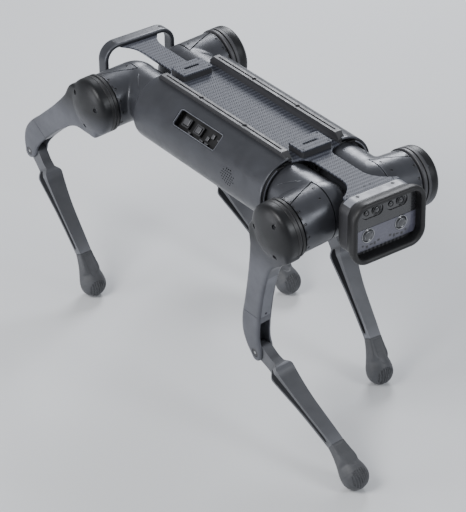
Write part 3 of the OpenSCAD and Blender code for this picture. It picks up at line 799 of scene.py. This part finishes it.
def cover_space(back):
    """The space ahead of the front cover's two seams, which are both moved back by a distance."""
    ahead = moved(block((0, -200, -90), (200, 200, 90)),
                  Matrix.Translation((-15 - back, 0, 0)) @ Matrix.Rotation(math.radians(-23), 4, "Z"))
    beyond = moved(block((-90, 0, -150), (90, 200, 150)),
                   Matrix.Translation((0, 8 - back, 0)) @ Matrix.Rotation(math.radians(6), 4, "X"))
    return shared(ahead, beyond)


def round_the_hip(angle, y):
    """A spot on the barrel, with Z outward, at an angle from the trunk's far side toward up."""
    turn = Matrix.Rotation(math.radians(90 - angle), 4, "Y")
    spot = (HIP_R * math.cos(math.radians(angle)), y, HIP_R * math.sin(math.radians(angle)))
    return Matrix.Translation(spot) @ turn


def neck_ridge():
    """A low rounded rib that runs slantwise along the top of the neck."""
    start, end, steps, half_width = (-29.0, 79.0), (-68.0, 43.0), 14, 5.5
    rings = []
    for i in range(steps + 1):
        t = i / steps
        x, around = start[0] + (end[0] - start[0]) * t, start[1] + (end[1] - start[1]) * t
        rise = 1.5 * smooth_step(min(t, 1 - t), 0, 0.3)
        ring = []
        for offset in (-1, -0.75, -0.5, -0.25, 0, 0.25, 0.5, 0.75, 1):
            angle = math.radians(around + offset * half_width * 1.17)
            radius = HIP_R - 1.6 + (0.4 + rise) * (1 + math.cos(math.pi * offset)) / 2
            ring.append((x + offset * half_width * 0.7, radius * math.cos(angle), radius * math.sin(angle)))
        inner = [(px, 0.96 * py, 0.96 * pz) for px, py, pz in reversed(ring)]
        rings.append(ring + inner)
    return loft(rings)


def add_hips():
    shape = hip_shape()
    screw_y, screw_count = 61.5, 14
    spots = [round_the_hip(80 + 360 * i / screw_count, screw_y) for i in range(screw_count)]
    spots += [round_the_hip(87, 12), round_the_hip(60, 17)]
    sinks = joined(*(moved(rod("Z", 2.5, -1.4, 4, steps=20), spot) for spot in spots))
    housing = cut(shape, cover_space(2.6), sinks)
    cover = cut(shared(shape, cover_space(0)), sinks)
    screws = joined(*(moved(screw(2.1, 1.1), spot @ Matrix.Translation((0, 0, -1.5))) for spot in spots))
    seal = revolve([(38, 64), (46.6, 64), (46.6, 68.2), (45.8, 69), (38, 69)], "Y", 96)
    # black patches painted as the shade in the notches round the hip's mouth
    notch_shade = joined(*(moved(block((-2.6, -1.3, -2), (2.6, 1.3, 0.12)), round_the_hip(360 * i / 26, 64.6))
                       for i in range(26)))
    ridge = neck_ridge()
    for leg in LEGS:
        place, body = hip_frame(leg), f"hip_{leg}"
        piece(f"hip_elbow_{leg}", housing, place, body, SHELL, "shell",
              stands_for=(f"hip_housing_{leg}",))
        piece(f"hip_front_cover_{leg}", cover, place, body, SHELL, "shell",
              stands_for=(f"hip_cover_{leg}",))
        piece(f"hip_screws_{leg}", screws, place, body, SCREW, "bolt")
        piece(f"hip_seal_{leg}", seal, place, body, SEAL, "seal")
        piece(f"hip_notches_{leg}", notch_shade, place, body, BLACK, "rail")
        piece(f"hip_ridge_{leg}", ridge, place, body, SHELL, "shell")


# ---- Thighs ----

DRUM_R, DRUM_IN_Y, DRUM_SEAM_Y, DRUM_RIM_Y, DOME_H = 52.7, -21.2, -6.2, 4.0, 18.0
ARM_W, SLOT_W = 30.0, 19.0
THIGH_L = (joint_at("knee", "fr") - joint_at("hip_pitch", "fr")).length / MM
# Side outline of the thigh's arm as [forward, up] from the hip axis
ARM = smooth_loop([
    (-51, -12), (-45, -60), (-42.5, -110), (-43, -180), (-45, -229), (-40, -262), (-27, -284),
    (-14, -296), (-2, -305), (9, -301), (14, -288), (12, -272), (4, -255), (0, -220), (0, -160),
    (5, -105), (15, -68), (38, -38), (50, -14), (0, 20)], 8)
# Side outline of the slot that the shank folds into
SLOT = [(40, -216), (-30, -216), (-36, -232), (-34, -254), (-25, -273), (-17.5, -284), (-16, -292),
        (-10, -303), (-4, -320), (40, -320)]


def thigh_shape():
    """Dome and arm, melted together so that one flows into the other."""
    dome = [(DRUM_R * math.cos(math.radians(a)), DRUM_RIM_Y + DOME_H * math.sin(math.radians(a)))
            for a in range(0, 91, 6)]
    drum = revolve([(0, DRUM_SEAM_Y - 10), (DRUM_R, DRUM_SEAM_Y - 10)] + dome, "Y", 120, closed=False)
    arm = modified(prism(ARM, -ARM_W / 2, ARM_W / 2),
                   ("BEVEL", {"width": 3.5, "segments": 3, "limit_method": "ANGLE", "angle_limit": 1.0}))
    whole = melted(combined(drum, arm, "UNION"), 1.7, 16)
    return cut(whole, rod("Y", DRUM_R + 0.4, DRUM_SEAM_Y - 30, DRUM_SEAM_Y, steps=120))


def strip_tool(width, low, high):
    """A skin along the arm's front edge, between two heights."""
    depth = 3.0
    ahead = moved(prism(ARM, -width / 2, width / 2), Matrix.Translation((4, 0, 0)))
    behind = moved(prism(ARM, -width, width), Matrix.Translation((-depth, 0, 0)))
    return shared(cut(ahead, behind), block((-20, -width, low), (30, width, high)))


def add_thighs():
    whole = thigh_shape()
    slot = prism(SLOT, -SLOT_W / 2, SLOT_W / 2)
    sink_angles = (50, 170, 290)
    spots = [Matrix.Rotation(math.radians(angle), 4, "Y") @ Matrix.Translation((36, 0, 0))
             for angle in sink_angles]
    sinks = [moved(rod("Y", 4.3, 13.2, 30, steps=24), spot) for spot in spots]
    bolts = [rod("Y", 8.0, low, high, (0, 0, -THIGH_L), 40) for low, high in ((12.6, 20), (-20, -12.6))]
    seams = [moved(block((-70, low, -0.45), (30, high, 0.45)),
                   Matrix.Translation((-20, 0, -207)) @ Matrix.Rotation(math.radians(-16), 4, "Y"))
             for low, high in ((14.0, 20), (-20, -14.0))]
    shell = cut(whole, slot, joined(*sinks, *bolts, *seams), strip_tool(20.8, -202.4, -99.6))
    strip = cut(shared(whole, strip_tool(20, -202, -100)), rod("X", 2.3, -8, 20, (0, 0, -196), 20))
    rim = [(40, DRUM_IN_Y), (51.6, DRUM_IN_Y), (52.7, DRUM_IN_Y + 1), (52.7, DRUM_IN_Y + 5.6),
           (52.2, DRUM_IN_Y + 6), (50.9, DRUM_IN_Y + 6.2), (50.9, DRUM_IN_Y + 8.3), (52.2, DRUM_IN_Y + 8.5),
           (52.7, DRUM_IN_Y + 8.9), (52.7, DRUM_SEAM_Y - 0.9), (52.2, DRUM_SEAM_Y - 0.4),
           (40, DRUM_SEAM_Y - 0.4)]
    rim = revolve(rim, "Y", 128)
    screws = [moved(screw(3.4, 1.8, "Y"), spot @ Matrix.Translation((0, 13.3, 0))) for spot in spots]
    screws.append(moved(screw(1.9, 1.0, "X"), Matrix.Translation((-3.4, 0, -196))))
    dots = joined(*(rod("Y", 2.6, low, high, (0, 0, -THIGH_L), 24) for low, high in ((14, 14.9),
                                                                                     (-14.9, -14))))
    for leg in LEGS:
        place, body = thigh_frame(leg), f"thigh_{leg}"
        piece(f"thigh_case_{leg}", shell, place, body, CASE, "shell",
              stands_for=(f"thigh_shell_{leg}",))
        piece(f"thigh_front_strip_{leg}", strip, place, body, TRIM, "strip",
              stands_for=(f"thigh_strip_{leg}",))
        piece(f"drum_rim_{leg}", rim, place, body, BLACK, "ring", stands_for=(f"thigh_rim_{leg}",))
        piece(f"thigh_screws_{leg}", joined(*screws), place, body, SCREW, "bolt")
        refined(f"knee_pin_{leg}", body, BLACK, "bolt", 0.35)
        piece(f"knee_pin_dots_{leg}", dots, place, body, METAL, "bolt")


# ---- Shanks and feet ----

BOOT_TOP = 62.0
BOOT_OUTLINE = [(24.0, -4), (24.0, 4), (22.6, 12), (20.3, 20), (17.6, 30), (15.3, 41), (13.8, 52),
                (13.0, BOOT_TOP)]


def boot_radius(height):
    """Radius of the boot at a height above the ball's middle: a ball that runs into a neck."""
    if height <= 4:
        return math.sqrt(max(FOOT_R ** 2 - height ** 2, 0))
    for (r0, h0), (r1, h1) in zip(BOOT_OUTLINE, BOOT_OUTLINE[1:]):
        if height <= h1:
            t = (height - h0) / (h1 - h0)
            return r0 + (r1 - r0) * t
    return BOOT_OUTLINE[-1][0]


def smooth_step(value, low, high):
    t = min(max((value - low) / (high - low), 0), 1)
    return t * t * (3 - 2 * t)


def boot_shape():
    """The boot: its neck squares up to the shank's front, with a ribbed pad and a sunk panel."""
    around, rib_pitch, rib_depth, panel_depth = 160, 4.4, 1.9, 0.7
    heights = [-FOOT_R * math.cos(math.radians(a)) for a in range(2, 90, 2)]
    heights += [0.8 * i for i in range(int(BOOT_TOP / 0.8) + 1)]
    rings = []
    for height in heights:
        round_r = boot_radius(height)
        power = 2 + 6 * smooth_step(height, 20, 40)
        ring = []
        for i in range(around):
            angle = 2 * math.pi * i / around
            c, d = math.cos(angle), math.sin(angle)
            radius = round_r
            if c > 0 and height > 20:
                norm = (c ** power + abs(d) ** power) ** (1 / power)
                radius = (round_r + 0.5 * smooth_step(height, 30, 50)) / norm
            x, y = radius * c, radius * d
            facing = (0.85 * x - 0.53 * height) / FOOT_R
            lane = (y / rib_pitch + 0.5) % 1.0
            rib = smooth_step(abs(lane - 0.5), 0.16, 0.30) * smooth_step(facing, 0.66, 0.72)
            half_width = 8.0 * math.sqrt(max(1 - ((max(24 - height, 0)) / 10) ** 2, 0))
            in_panel = smooth_step(half_width - abs(y), 0.0, 0.6) if x > 0 and 14 < height < 58 else 0.0
            sunk = rib_depth * rib + panel_depth * in_panel * smooth_step(height, 58, 57)
            ring.append(((radius - sunk) * c, (radius - sunk) * d, height))
        rings.append(ring)
    return loft(rings)


def add_shanks():
    boot = boot_shape()
    for leg in LEGS:
        body = f"shank_{leg}"
        refined(f"shank_{leg}", body, LIMB, "limb", 1.2, f"shank_case_{leg}", segments=3)
        piece(f"boot_{leg}", boot, shank_frame(leg) @ BOOT, body, TREAD, "foot_rubber",
              stands_for=(f"foot_{leg}",), sharp=50)


def finish_cad_nodes():
    """The CAD nodes that still show, such as frames, motors, battery and board."""
    slots = {part["node"]: part["material_slot"] for part in frame["record"]["subparts"]}
    for name, node in frame["nodes"].items():
        node.data.materials.clear()
        node.data.materials.append(SLOT_FINISH[slots[name]])


add_camera()
add_floor_and_lights()
finish_cad_nodes()
add_side_shells()
add_port_window()
add_rails()
add_deck()
add_end_rings()
add_head_shells()
add_visor()
add_hoop()
add_hips()
add_thighs()
add_shanks()
